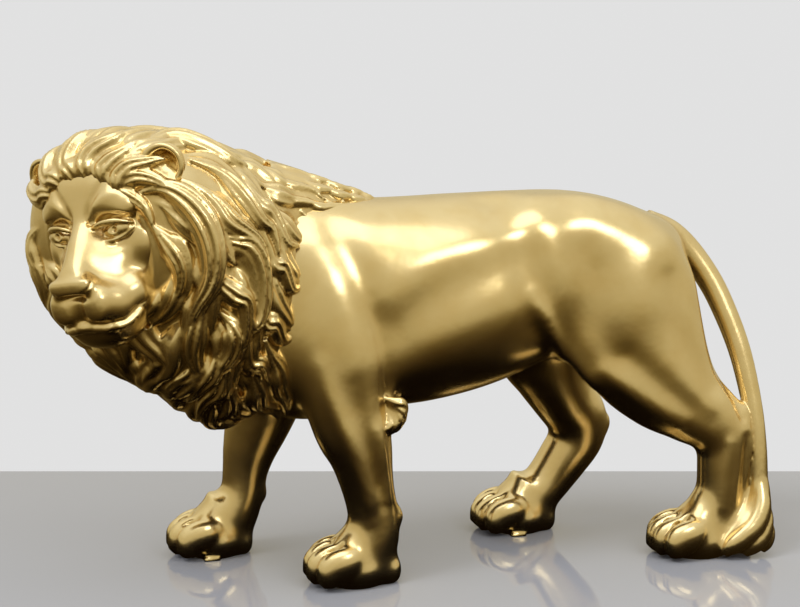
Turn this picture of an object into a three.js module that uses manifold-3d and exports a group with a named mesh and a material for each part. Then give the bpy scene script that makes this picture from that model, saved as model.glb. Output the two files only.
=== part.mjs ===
// A walking lion, life size, cast in one piece with no base. Millimetres, +Z up.
// The body runs along X with the head towards -X, and the head is turned to the lion's left, -Y.
// The four soles are flat and lie in the plane Z = 0; the origin is under the middle of the outline.
import * as THREE from "three";
import { mergeVertices } from "three/addons/utils/BufferGeometryUtils.js";
import Module from "manifold-3d";

const wasm = await Module();
wasm.setup();

// ---- driving dimensions -------------------------------------------------------------------------
const STANCE = 180; // each paw's centre line, to the left or right of the body's middle
const LOCKS_ROUND = 22; // mane locks side by side, right round the mane
const LOCKS_LONG = 3; // locks one after another, from the face to the shoulders
const LOCK_RELIEF = 26; // how far a lock stands above the groove beside it
const LOCK_DROOP = 38; // degrees that a lock at the side swings down between face and shoulder
const LOCK_WAVE = 5; // degrees that it waves either way
const MANE_REACH = 360; // how far back a tip one whole mane length longer would end
const HEAD = { at: [-1090, -150, 950], turn: 54, nod: 9, tilt: 5 }; // degrees
const LUG = { long: 46, wide: 52, thick: 10 };
const GOLD = { color: 0xb08a3c, roughness: 0.28, metalness: 1.0 };

const rad = THREE.MathUtils.degToRad;
const lerp = THREE.MathUtils.lerp;
const vec = (p) => new THREE.Vector3(...p);
const SIDEWAYS = vec([0, 1, 0]);

// ---- making solids ------------------------------------------------------------------------------

// A three.js geometry as a manifold solid, with its faces turned outwards.
function solid(geometry) {
  const bare = new THREE.BufferGeometry();
  bare.setAttribute("position", geometry.getAttribute("position"));
  bare.setIndex(geometry.getIndex());
  const merged = mergeVertices(bare, 1e-3);
  const triVerts = new Uint32Array(merged.getIndex().array);
  const vertProperties = merged.getAttribute("position").array;
  const made = new wasm.Manifold(new wasm.Mesh({ numProp: 3, vertProperties, triVerts }));
  if (made.volume() > 0) return made;
  for (let i = 0; i < triVerts.length; i += 3) {
    [triVerts[i + 1], triVerts[i + 2]] = [triVerts[i + 2], triVerts[i + 1]];
  }
  return new wasm.Manifold(new wasm.Mesh({ numProp: 3, vertProperties, triVerts }));
}

// The surface of a solid as a three.js geometry.
function skinOf(shape) {
  const { vertProperties, triVerts } = shape.getMesh();
  const geometry = new THREE.BufferGeometry();
  geometry.setAttribute("position", new THREE.BufferAttribute(vertProperties, 3));
  geometry.setIndex(new THREE.BufferAttribute(triVerts, 1));
  return geometry;
}

const weld = (solids) => solids.reduce((all, next) => all.add(next));

// A smooth value through the numbers of one field of the stations, at u from 0 to 1.
function along(stations, field, u) {
  const last = stations.length - 1;
  const i = Math.min(Math.floor(u * last), last - 1);
  const value = (k) => stations[THREE.MathUtils.clamp(k, 0, last)][field];
  const t = u * last - i;
  const [a, b, c, d] = [value(i - 1), value(i), value(i + 1), value(i + 2)];
  return b + 0.5 * t * (c - a + t * (2 * a - 5 * b + 4 * c - d + t * (3 * (b - c) + d - a)));
}

// A closed skin over rings of points, each ring given as an array of Vector3, with a pole at each end.
function skin(rings) {
  const sides = rings[0].length;
  const middle = (ring) =>
    ring.reduce((sum, p) => sum.add(p), new THREE.Vector3()).divideScalar(sides);
  const points = [middle(rings[0]), ...rings.flat(), middle(rings[rings.length - 1])];
  const index = [];
  const at = (ring, side) => 1 + ring * sides + (side % sides);
  const end = points.length - 1;
  for (let s = 0; s < sides; s++) {
    index.push(0, at(0, s + 1), at(0, s));
    index.push(end, at(rings.length - 1, s), at(rings.length - 1, s + 1));
    for (let r = 0; r < rings.length - 1; r++) {
      index.push(at(r, s), at(r, s + 1), at(r + 1, s + 1));
      index.push(at(r, s), at(r + 1, s + 1), at(r + 1, s));
    }
  }
  const geometry = new THREE.BufferGeometry().setFromPoints(points);
  geometry.setIndex(index);
  return geometry;
}

// A limb: elliptical sections along a smooth line. A station is [x, y, z, deep, wide], where wide is
// the half width across the body (or along its own across vector) and deep is square to it.
function limb(table, sides = 10, steps = 1, across = () => SIDEWAYS) {
  const stations = table.map(([x, y, z, deep, wide]) => ({ x, y, z, deep, wide }));
  const total = (stations.length - 1) * steps;
  const centre = (u) => new THREE.Vector3(...["x", "y", "z"].map((k) => along(stations, k, u)));
  const rings = [];
  for (let r = 0; r <= total; r++) {
    const u = r / total;
    const tangent = centre(Math.min(1, u + 0.01)).sub(centre(Math.max(0, u - 0.01))).normalize();
    const wideway = across(u).clone().addScaledVector(tangent, -across(u).dot(tangent)).normalize();
    const deepway = new THREE.Vector3().crossVectors(tangent, wideway);
    const deep = along(stations, "deep", u);
    const wide = along(stations, "wide", u);
    rings.push(
      Array.from({ length: sides }, (_, s) => {
        const angle = (2 * Math.PI * s) / sides;
        return centre(u)
          .addScaledVector(deepway, deep * Math.cos(angle))
          .addScaledVector(wideway, wide * Math.sin(angle));
      }),
    );
  }
  return solid(skin(rings));
}

// A rounded muscle or pad: an ellipsoid of three half sizes, turned by Euler angles in degrees.
function mass(at, sizes, turn = [0, 0, 0], detail = [12, 8]) {
  const ball = new THREE.SphereGeometry(1, ...detail);
  const euler = new THREE.Euler(...turn.map(rad), "ZYX");
  const place = new THREE.Quaternion().setFromEuler(euler);
  return solid(ball.applyMatrix4(new THREE.Matrix4().compose(vec(at), place, vec(sizes))));
}

// ---- trunk, legs and tail -----------------------------------------------------------------------

function trunk() {
  // [x, height of the back, height of the belly, half width]
  const outline = [
    [-800, 1030, 560, 120], [-700, 1060, 470, 185], [-560, 1052, 422, 210], [-400, 1030, 444, 222],
    [-250, 1032, 456, 226], [-100, 1040, 488, 220], [50, 1046, 545, 204], [180, 1043, 602, 190],
    [310, 1020, 646, 184], [420, 980, 694, 160], [500, 935, 745, 118], [545, 885, 800, 60],
  ];
  const table = outline.map(([x, top, low, half]) => [x, 0, (top + low) / 2, (top - low) / 2, half]);
  return limb(table, 16);
}

// The leg's stations run from inside the trunk down to the pastern.
const FORELEGS = {
  left: [
    [-490, -104, 915, 84, 56], [-498, -138, 830, 138, 80], [-504, -158, 700, 158, 86],
    [-490, -166, 560, 134, 88], [-474, -174, 430, 108, 84],
    [-454, -178, 358, 89, 76], [-442, -180, 300, 77, 68], [-430, -181, 240, 70, 63],
    [-420, -181, 185, 70, 62], [-424, -182, 130, 76, 66], [-440, -183, 70, 78, 68],
  ],
  right: [
    [-580, 104, 915, 84, 56], [-588, 138, 830, 138, 80], [-598, 158, 700, 158, 86],
    [-622, 166, 560, 136, 88], [-655, 174, 430, 108, 84],
    [-676, 178, 358, 93, 76], [-695, 180, 295, 78, 68], [-708, 181, 235, 66, 62],
    [-716, 181, 180, 63, 62], [-735, 182, 125, 68, 66], [-765, 183, 70, 76, 68],
  ],
};

const HINDLEGS = {
  left: [
    [310, -70, 900, 150, 80], [306, -96, 820, 215, 104], [330, -112, 710, 228, 108],
    [393, -138, 580, 190, 98], [456, -155, 492, 152, 88], [522, -166, 430, 116, 78],
    [580, -174, 384, 97, 70], [620, -180, 330, 88, 64],
    [619, -182, 270, 85, 62], [616, -183, 205, 81, 62], [610, -183, 140, 78, 64],
    [585, -183, 70, 78, 68],
  ],
  right: [
    [250, 70, 900, 150, 80], [230, 96, 810, 205, 104], [208, 112, 700, 212, 108],
    [180, 138, 575, 162, 96], [213, 155, 478, 116, 86],
    [258, 166, 400, 98, 76], [303, 174, 335, 93, 68], [306, 180, 275, 86, 62],
    [268, 182, 215, 80, 62], [224, 183, 155, 73, 62], [182, 183, 105, 70, 66],
    [155, 183, 60, 72, 68],
  ],
};

// The rump, the hair at the elbows and the bony points of the joints.
function points() {
  return [
    mass([405, 0, 850], [150, 150, 125]), // rump
    mass([-384, -188, 462], [40, 40, 56], [0, -14, 0], [10, 6]), // left elbow and its tuft
    mass([-580, 188, 475], [40, 40, 56], [0, -10, 0], [10, 6]), // right elbow
    mass([-358, -183, 176], [26, 30, 40], [0, 0, 0], [8, 6]), // left wrist bone
    mass([-668, 183, 170], [24, 30, 38], [0, 0, 0], [8, 6]), // right wrist bone
    mass([676, -180, 384], [36, 36, 60], [0, -20, 0], [8, 6]), // left hock
    mass([372, 176, 298], [36, 34, 56], [0, 30, 0], [8, 6]), // right hock
  ];
}

// A paw under the leg at [x, y], pointing to -X: a sole, a heel and four toes that curl to the floor.
function paw(x, y, length, heel) {
  const parts = [
    mass([x - 0.12 * length, y, 44], [0.4 * length, 86, 72], [0, 0, 0], [10, 6]),
    mass([x + heel, y, 34], [0.17 * length, 62, 46], [0, 0, 0], [10, 6]),
  ];
  const toes = 4;
  for (let i = 0; i < toes; i++) {
    const out = i - (toes - 1) / 2; // -1.5 to 1.5 across the paw
    const back = 9 * out * out; // the outer toes start further back
    const line = y + 42 * out;
    const tip = x - 0.62 * length + back;
    parts.push(
      limb(
        [
          [tip + 110, y + 26 * out, 72, 32, 26], [tip + 66, line, 85, 36, 28],
          [tip + 22, line, 64, 40, 29], [tip, line, 22, 22, 22],
        ],
        6,
      ),
    );
  }
  return weld(parts);
}

function paws() {
  return [
    paw(-440, -STANCE, 242, 52),
    paw(-772, STANCE, 232, 40),
    paw(572, -STANCE, 258, 84),
    paw(146, STANCE, 240, 44),
  ];
}

// The small plates under the inner edge of the two right paws, which fix the casting where it stands.
function lugs() {
  const { long, wide, thick } = LUG;
  return [
    [-818, 122],
    [97, 122],
  ].map(([x, y]) => solid(new THREE.BoxGeometry(long, wide, thick).translate(x, y, thick / 2)));
}

// The tail drops from the rump behind the left hind leg, and its tuft wraps the outside of that paw.
function tail() {
  const line = [
    [440, 0, 915, 60, 60], [506, -4, 900, 46, 46], [566, -22, 850, 38, 38], [620, -54, 764, 36, 36],
    [656, -92, 668, 34, 34], [680, -128, 575, 32, 32], [694, -160, 480, 30, 30],
    [702, -190, 385, 28, 28], [706, -208, 295, 27, 27], [706, -220, 205, 28, 27],
    [704, -232, 132, 38, 30], [686, -250, 66, 46, 28], [620, -266, 36, 42, 24],
    [548, -270, 20, 20, 12],
  ];
  return limb(line, 8);
}

// ---- mane ---------------------------------------------------------------------------------------

// Rings of the mane's outline from the face (first) to the shoulders (last): each a centre, the way it
// faces as a turn, a nod and a tilt in degrees, and its half width, height above and depth below.
const MANE = [
  { x: -1128, y: -196, z: 925, turn: 54, nod: 9, tilt: 9, wide: 176, up: 226, down: 200 },
  { x: -1085, y: -165, z: 918, turn: 53, nod: 7, tilt: 9, wide: 282, up: 318, down: 308 },
  { x: -1005, y: -115, z: 912, turn: 45, nod: 1, tilt: 7, wide: 292, up: 332, down: 376 },
  { x: -910, y: -70, z: 895, turn: 32, nod: -6, tilt: 5, wide: 282, up: 330, down: 388 },
  { x: -810, y: -30, z: 850, turn: 18, nod: -9, tilt: 2, wide: 270, up: 336, down: 412 },
  { x: -720, y: -6, z: 800, turn: 8, nod: -9, tilt: 0, wide: 256, up: 346, down: 372 },
  { x: -640, y: 0, z: 775, turn: 3, nod: -8, tilt: 0, wide: 238, up: 335, down: 345 },
];

// The directions of a thing that is turned, nodded and tilted: its front, its left and its top.
function facing(turn, nod, tilt = 0) {
  const [a, b, c] = [turn, nod, tilt].map(rad);
  const front = vec([-Math.cos(a) * Math.cos(b), -Math.sin(a) * Math.cos(b), -Math.sin(b)]);
  const level = vec([Math.sin(a), -Math.cos(a), 0]);
  const upright = new THREE.Vector3().crossVectors(front, level);
  const left = level.clone().multiplyScalar(Math.cos(c)).addScaledVector(upright, Math.sin(c));
  return { front, left, top: new THREE.Vector3().crossVectors(front, left) };
}

// A point of the mane: t runs from the face, 0, to the shoulders, 1, and the angle runs round from the
// lion's left, 0 degrees, over the top, 90, to its right, 180, and underneath, 270. The lift raises
// the point off the combed body of the mane, and past t = 1 the last ring is carried on backwards.
function manePoint(t, angle, lift = 0) {
  const value = (field) => along(MANE, field, THREE.MathUtils.clamp(t, 0, 1));
  const { front, left, top } = facing(value("turn"), value("nod"), value("tilt"));
  const rise = Math.sin(rad(angle));
  const height = rise > 0 ? value("up") : value("down");
  return vec([value("x"), value("y"), value("z")])
    .addScaledVector(left, (value("wide") - LOCK_RELIEF + lift) * Math.cos(rad(angle)))
    .addScaledVector(top, (height - LOCK_RELIEF + lift) * rise)
    .addScaledVector(front, -MANE_REACH * Math.max(0, t - 1));
}

// The mane is one skin whose columns of points follow the locks. Each lock has a groove, a ridge and a
// flank on either side; locks droop towards the chest, wave, narrow to a point and start again.
function mane() {
  const rows = 14;
  const columns = 4 * LOCKS_ROUND;
  const rings = [];
  for (let r = 0; r <= rows; r++) {
    rings.push(
      Array.from({ length: columns }, (_, c) => {
        const lockNumber = Math.floor(c / 4);
        const place = (c % 4) - 2; // -2 is the groove, 0 the ridge, -1 and 1 the flanks
        const uneven = Math.sin(2.4 * lockNumber); // no two neighbours are alike
        const tip = place === -2 ? 0 : (2 - Math.abs(place)) * (0.05 + 0.03 * uneven);
        const t = (r / rows) * (1 + tip);
        const grown = (LOCKS_LONG * t + 0.5 * (lockNumber % 2) + 0.12 * uneven) % 1;
        const spread = 1 - 0.55 * grown ** 2;
        const ridge = [0, 0.72, 1][2 - Math.abs(place)];
        const lift = LOCK_RELIEF * ridge * (0.6 + 0.6 * grown * (1.6 - grown));
        const pitch = 360 / LOCKS_ROUND;
        const start = pitch * (lockNumber + 0.5) + (place === -2 ? -0.5 : 0.25 * place * spread) * pitch;
        const wave = LOCK_WAVE * Math.sin(2 * Math.PI * 1.4 * t + 0.6 * uneven);
        return manePoint(t, start - LOCK_DROOP * t * Math.cos(rad(start)) + wave, lift);
      }),
    );
  }
  return solid(skin(rings));
}

// The crest of hair that runs back over the withers.
function crest() {
  return limb(
    [
      [-700, 0, 1000, 148, 160], [-580, 0, 975, 141, 134], [-490, 0, 975, 107, 98],
      [-420, 0, 975, 75, 58], [-372, 0, 980, 47, 16],
    ],
    8,
  );
}

// ---- head ---------------------------------------------------------------------------------------

// Head parts are placed as [front, left, top] from the head's own centre.
function headParts() {
  const both = (make) => [make(1), make(-1)];
  const muzzle = [
    [30, 0, -10, 95, 100], [110, 0, -25, 84, 84], [170, 0, -58, 74, 78], [218, 0, -84, 58, 72],
    [242, 0, -92, 30, 40],
  ];
  const bridge = [
    [70, 0, 72, 26, 40], [135, 0, 48, 26, 28], [195, 0, -2, 26, 32], [238, 0, -38, 22, 44],
    [252, 0, -56, 12, 34],
  ];
  const jaw = [
    [20, 0, -150, 60, 100], [90, 0, -172, 50, 86], [150, 0, -190, 44, 62], [182, 0, -184, 32, 46],
    [198, 0, -176, 14, 22],
  ];
  return [
    mass([-10, 0, 60], [140, 160, 125], [0, 0, 0], [14, 8]),
    mass([40, 0, -30], [110, 150, 130], [0, 0, 0], [14, 8]),
    limb(muzzle, 10, 2),
    limb(bridge, 8),
    limb(jaw, 10, 2),
    mass([236, 0, -62], [22, 58, 24], [0, 20, 0], [10, 6]), // nose pad
    ...both((side) => mass([188, 44 * side, -104], [56, 48, 48], [0, 0, 0], [10, 6])), // upper lip
    ...both((side) => mass([98, 62 * side, 84], [38, 58, 22], [20 * side, -12, 0], [10, 6])), // brow
    ...both((side) => mass([60, 104 * side, -22], [70, 52, 74], [0, 0, 0], [10, 6])), // cheek
    ...both((side) => mass([92, 78 * side, 44], [26, 27, 24], [0, 0, 0], [8, 6])), // eye
    ear(1, 200),
    ear(-1, 166),
  ];
}

// An ear on the head's left (1) or right (-1), at its distance out from the middle of the head.
function ear(side, out) {
  const shell = mass([-28, out * side, 186], [26, 48, 54], [0, 0, 30 * side], [10, 6]);
  const bowl = mass([0, (out + 8) * side, 186], [24, 32, 37], [0, 0, 30 * side], [8, 6]);
  return shell.subtract(bowl);
}

function head() {
  const { front, left, top } = facing(HEAD.turn, HEAD.nod, HEAD.tilt);
  const place = new THREE.Matrix4().makeBasis(front, left, top).setPosition(vec(HEAD.at));
  return solid(skinOf(weld(headParts())).applyMatrix4(place));
}

// ---- the casting --------------------------------------------------------------------------------

// Everything below the floor is cut away, which leaves the four flat soles.
function belowFloor() {
  const slab = new THREE.BoxGeometry(4000, 2000, 400);
  return solid(slab.translate(0, 0, -200));
}

// The same solid with the small hollows between its joined pieces filled in.
const filled = (shape) => weld(shape.decompose().filter((shell) => shell.volume() > 0));

function lionGeometry() {
  const legs = [...Object.values(FORELEGS), ...Object.values(HINDLEGS)].map((table) => limb(table));
  const body = [trunk(), ...points(), ...legs, ...paws(), ...lugs(), tail()];
  const cast = weld([...body, crest(), mane(), head()]).subtract(belowFloor());
  const geometry = skinOf(filled(cast));
  geometry.computeBoundingBox();
  const middle = geometry.boundingBox.getCenter(new THREE.Vector3());
  return geometry.translate(-middle.x, -middle.y, 0);
}

const lion = new THREE.Mesh(lionGeometry(), new THREE.MeshStandardMaterial(GOLD));
lion.name = "lion";

const statue = new THREE.Group();
statue.add(lion);

export default statue;
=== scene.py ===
"""A walking lion, life size, cast in one piece and gilded, on a polished floor.

Lengths in the tables are millimetres in the drawing frame: X from the head (-) to the tail (+), the
lion's left side at -Y, the floor at Z = 0. Head parts are given from the head's own centre as
(front, left, top). Blender objects are in metres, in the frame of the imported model.
"""

from __future__ import annotations

import logging
import math
from dataclasses import dataclass, replace
from enum import Enum

import bpy
import numpy as np
from mathutils import Matrix, Vector

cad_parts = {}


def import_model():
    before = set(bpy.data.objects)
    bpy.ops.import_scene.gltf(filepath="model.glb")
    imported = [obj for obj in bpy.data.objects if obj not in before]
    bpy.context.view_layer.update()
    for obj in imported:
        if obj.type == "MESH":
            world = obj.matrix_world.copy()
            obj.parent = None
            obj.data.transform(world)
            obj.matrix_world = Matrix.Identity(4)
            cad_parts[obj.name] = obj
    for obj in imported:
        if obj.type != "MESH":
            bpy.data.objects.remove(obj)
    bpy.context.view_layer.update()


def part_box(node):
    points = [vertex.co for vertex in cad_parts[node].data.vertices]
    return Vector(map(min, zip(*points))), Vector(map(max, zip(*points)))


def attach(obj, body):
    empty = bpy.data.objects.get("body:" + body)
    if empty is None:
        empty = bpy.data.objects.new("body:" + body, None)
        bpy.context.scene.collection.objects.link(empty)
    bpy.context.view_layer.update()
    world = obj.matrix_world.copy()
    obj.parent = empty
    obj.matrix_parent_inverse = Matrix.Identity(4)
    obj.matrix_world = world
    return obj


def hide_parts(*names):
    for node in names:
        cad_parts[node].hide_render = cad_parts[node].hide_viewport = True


LOG = logging.getLogger("lion")
MM = 0.001
DRAWN_MIDDLE = (-282.12, -52.33)  # middle of the outline, as drawn
Array = np.ndarray
Table = list[tuple[float, ...]]
Pair = tuple[float, float]
Triple = tuple[float, float, float]
Stops = tuple[tuple[float, Triple], ...]
PASS_IN, PASS_OUT = 0.5, 0.53  # how far smoothing moves a point, and moves it back


# ---- clay: skins gathered before they are fused ----


def spline(rows: Array, u: Array) -> Array:
    """Smooth values through the rows of a table.

    Args:
        rows: One row of values per station.
        u: Places along the table, 0 to 1.

    Returns:
        One row of values per place.
    """
    last = len(rows) - 1
    i = np.clip((u * last).astype(int), 0, last - 1)
    t = (u * last - i)[:, None]
    a, b, c, d = (rows[np.clip(i + k, 0, last)] for k in (-1, 0, 1, 2))
    return b + 0.5 * t * (c - a + t * (2 * a - 5 * b + 4 * c - d + t * (3 * (b - c) + d - a)))


def unit(v: Array) -> Array:
    """Vectors at length one."""
    return v / np.maximum(np.linalg.norm(v, axis=-1, keepdims=True), 1e-9)


def smooth(low: float, high: float, x: Array | float) -> Array | float:
    """A soft step from 0 at low to 1 at high."""
    t = np.clip((x - low) / (high - low), 0, 1)
    return t * t * (3 - 2 * t)


def away(points: Array, at: tuple[float, ...], reach: tuple[float, ...], side: int) -> Array:
    """Squared distances from a place, mirrored where side is -1, in units of its reach."""
    return (((points - np.array(at) * [1, side, 1]) / np.array(reach)) ** 2).sum(axis=1)


def mirrored(table: Table, side: int) -> Table:
    """Rows of a table as they are, or on the other side where side is -1."""
    return [(row[0], row[1] * side, *row[2:]) for row in table]


@dataclass
class Place:
    """A turned and moved frame of its own for some parts: its origin and its three directions."""

    at: Array
    axes: Array

    def out(self, local: Array) -> Array:
        """Points of this frame in the drawing frame."""
        return self.at + local @ self.axes

    def into(self, points: Array) -> Array:
        """Points of the drawing frame in this frame."""
        return (points - self.at) @ self.axes.T


def facing(turn: float, nod: float, tilt: float) -> Array:
    """Works out which way a thing faces.

    Args:
        turn: Degrees from -X round towards -Y.
        nod: Degrees down.
        tilt: Degrees that its left side is raised.

    Returns:
        Its front, left and top directions.
    """
    a, b, c = np.radians([turn, nod, tilt])
    front = np.array([-np.cos(a) * np.cos(b), -np.sin(a) * np.cos(b), -np.sin(b)])
    level = np.array([np.sin(a), -np.cos(a), 0.0])
    left = level * np.cos(c) + np.cross(front, level) * np.sin(c)
    return np.array([front, left, np.cross(front, left)])


DRAWING = Place(np.zeros(3), np.eye(3))


class Clay:
    """Closed skins gathered in the drawing frame, to be fused into one surface."""

    def __init__(self) -> None:
        """Starts with no clay."""
        self.points: list[Array] = []
        self.faces: list[tuple[int, ...]] = []
        self.count = 0

    def rings(self, rings: Array) -> None:
        """Adds a skin over rings of points, closed by a pole at each end.

        Args:
            rings: Points as (ring, side, xyz).
        """
        n, sides, _ = rings.shape
        middle = rings.mean(axis=1)
        self.points += [middle[:1], rings.reshape(-1, 3), middle[-1:]]
        base, end = self.count, self.count + 1 + n * sides
        for s in range(sides):
            a, b = base + 1 + s, base + 1 + (s + 1) % sides
            far = (n - 1) * sides
            self.faces += [(base, b, a), (end, a + far, b + far)]
            self.faces += [
                (a + r, b + r, b + r + sides, a + r + sides) for r in range(0, far, sides)
            ]
        self.count += n * sides + 2

    def limb(
        self,
        table: Table,
        sides: int = 24,
        steps: int = 5,
        place: Place = DRAWING,
        square: float = 1.0,
        profile: Table | None = None,
    ) -> None:
        """Adds elliptical sections, or sections with flat sides, along a smooth line.

        Args:
            table: Stations (x, y, z, half depth, half width); the width lies along Y.
            sides: Points round a section.
            steps: Sections from one station to the next.
            place: The frame the table is given in.
            square: 1 for round sections, less for squarer ones.
            profile: Corners (depth, width) of half a flat-sided section, from its top to its bottom.
        """
        u = np.linspace(0, 1, (len(table) - 1) * steps + 1)
        rows = spline(np.array(table, float), u)
        tangent = unit(np.gradient(rows[:, :3], axis=0))
        across = np.array([0.0, 1.0, 0.0])
        wide = unit(across - tangent * (tangent @ across)[:, None])
        deep = np.cross(tangent, wide)
        turn = 2 * np.pi * (np.arange(sides) + 0.5) / sides
        c, r = (np.sign(v) * np.abs(v) ** square for v in (np.cos(turn), np.sin(turn)))
        if profile:
            half = np.array(profile, float)
            corners = np.concatenate([half, half[::-1] * [1, -1], half[:1]])
            far = np.r_[0, np.cumsum(np.linalg.norm(np.diff(corners, axis=0), axis=1))]
            at = np.linspace(0, far[-1], sides, endpoint=False)
            c, r = (np.interp(at, far, corners[:, k]) for k in (0, 1))
        rings = (
            rows[:, None, :3]
            + deep[:, None] * rows[:, None, 3:4] * c[None, :, None]
            + wide[:, None] * rows[:, None, 4:5] * r[None, :, None]
        )
        self.rings(place.out(rings))

    def ball(
        self,
        at: tuple[float, ...],
        sizes: tuple[float, ...],
        turn: tuple[float, ...] = (0, 0, 0),
        place: Place = DRAWING,
        square: float = 1.0,
    ) -> None:
        """Adds a rounded lump.

        Args:
            at: Its middle.
            sizes: Its three half sizes.
            turn: Its turns about X, Y and Z in degrees.
            place: The frame the rest is given in.
            square: 1 for a round lump, less for a squarer one.
        """
        rise = np.linspace(0.06, np.pi - 0.06, 13)[:, None]
        turned = (2 * np.pi * np.arange(20) / 20)[None]
        shell = np.stack(
            [np.sin(rise) * np.cos(turned), np.sin(rise) * np.sin(turned), np.cos(rise) + 0 * turned],
            axis=-1,
        )
        shell = np.sign(shell) * np.abs(shell) ** square
        spin = Matrix.Identity(3)
        for axis, angle in zip("XYZ", turn):
            spin = Matrix.Rotation(math.radians(angle), 3, axis) @ spin
        self.rings(place.out(shell * np.array(sizes) @ np.array(spin).T + np.array(at)))

    def lock(self, line: Array, up: Array, shape: LockShape) -> None:
        """Adds a lock of hair: a flat strand bundle that narrows to a point.

        Args:
            line: The middle of the lock, root first.
            up: Outward directions along it.
            shape: Its sizes.
        """
        s = np.linspace(0, 1, shape.steps)
        line, up = spline(line, s), unit(spline(up, s))
        tangent = unit(np.gradient(line, axis=0))
        across = unit(np.cross(tangent, up))
        up = np.cross(across, tangent)
        lean = np.radians(shape.lean) * np.sin(np.pi * s)[:, None]
        across, up = (
            across * np.cos(lean) + up * np.sin(lean),
            up * np.cos(lean) - across * np.sin(lean),
        )
        swell = smooth(0, 0.42, s)  # from a thin root to full size, and from there to the point
        wide = shape.wide * (0.14 + 0.86 * swell) * np.maximum(1 - s**2.2, 0.004) ** 0.9
        high = shape.high * (0.16 + 0.84 * swell) * np.maximum(1 - s**3, 0.004) ** 0.7
        turn = 2 * np.pi * (np.arange(shape.sides) + 0.5) / shape.sides
        c, r = np.cos(turn)[None], np.sin(turn)[None]
        waver = 0.3 * np.sin(3 * s[:, None])
        cut = (0.5 + 0.5 * np.cos(np.pi * shape.strands * (c + 1 + waver))) ** 1.5
        rise = np.where(r > 0, r * (1 - shape.groove * cut), 0.7 * r)
        self.rings(
            line[:, None]
            + across[:, None] * (wide[:, None] * c)[..., None]
            + up[:, None] * (high[:, None] * rise)[..., None]
        )


@dataclass(frozen=True)
class LockShape:
    """The sizes of one lock of hair."""

    wide: float = 30  # half width at its middle
    high: float = 24
    strands: int = 3
    groove: float = 0.42  # depth of the grooves between strands, as a share of the height
    lean: float = 0  # how far it rolls to one side, in degrees
    steps: int = 22
    sides: int = 30


# ---- sculpting a fused surface ----


class Side(Enum):
    """Which sides of the body a stroke is drawn on, as signs of Y."""

    LEFT = (-1,)
    RIGHT = (1,)
    BOTH = (-1, 1)


@dataclass(frozen=True)
class Stroke:
    """A ridge (+) or groove (-) drawn on the side of the body through (x, z) points."""

    line: Table
    wide: float
    high: float
    side: Side = Side.LEFT


@dataclass(frozen=True)
class Press:
    """A soft push at a place of the head: (front, left, top) middle, reach and movement."""

    at: Triple
    reach: Triple
    push: Triple
    pair: bool = True


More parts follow.
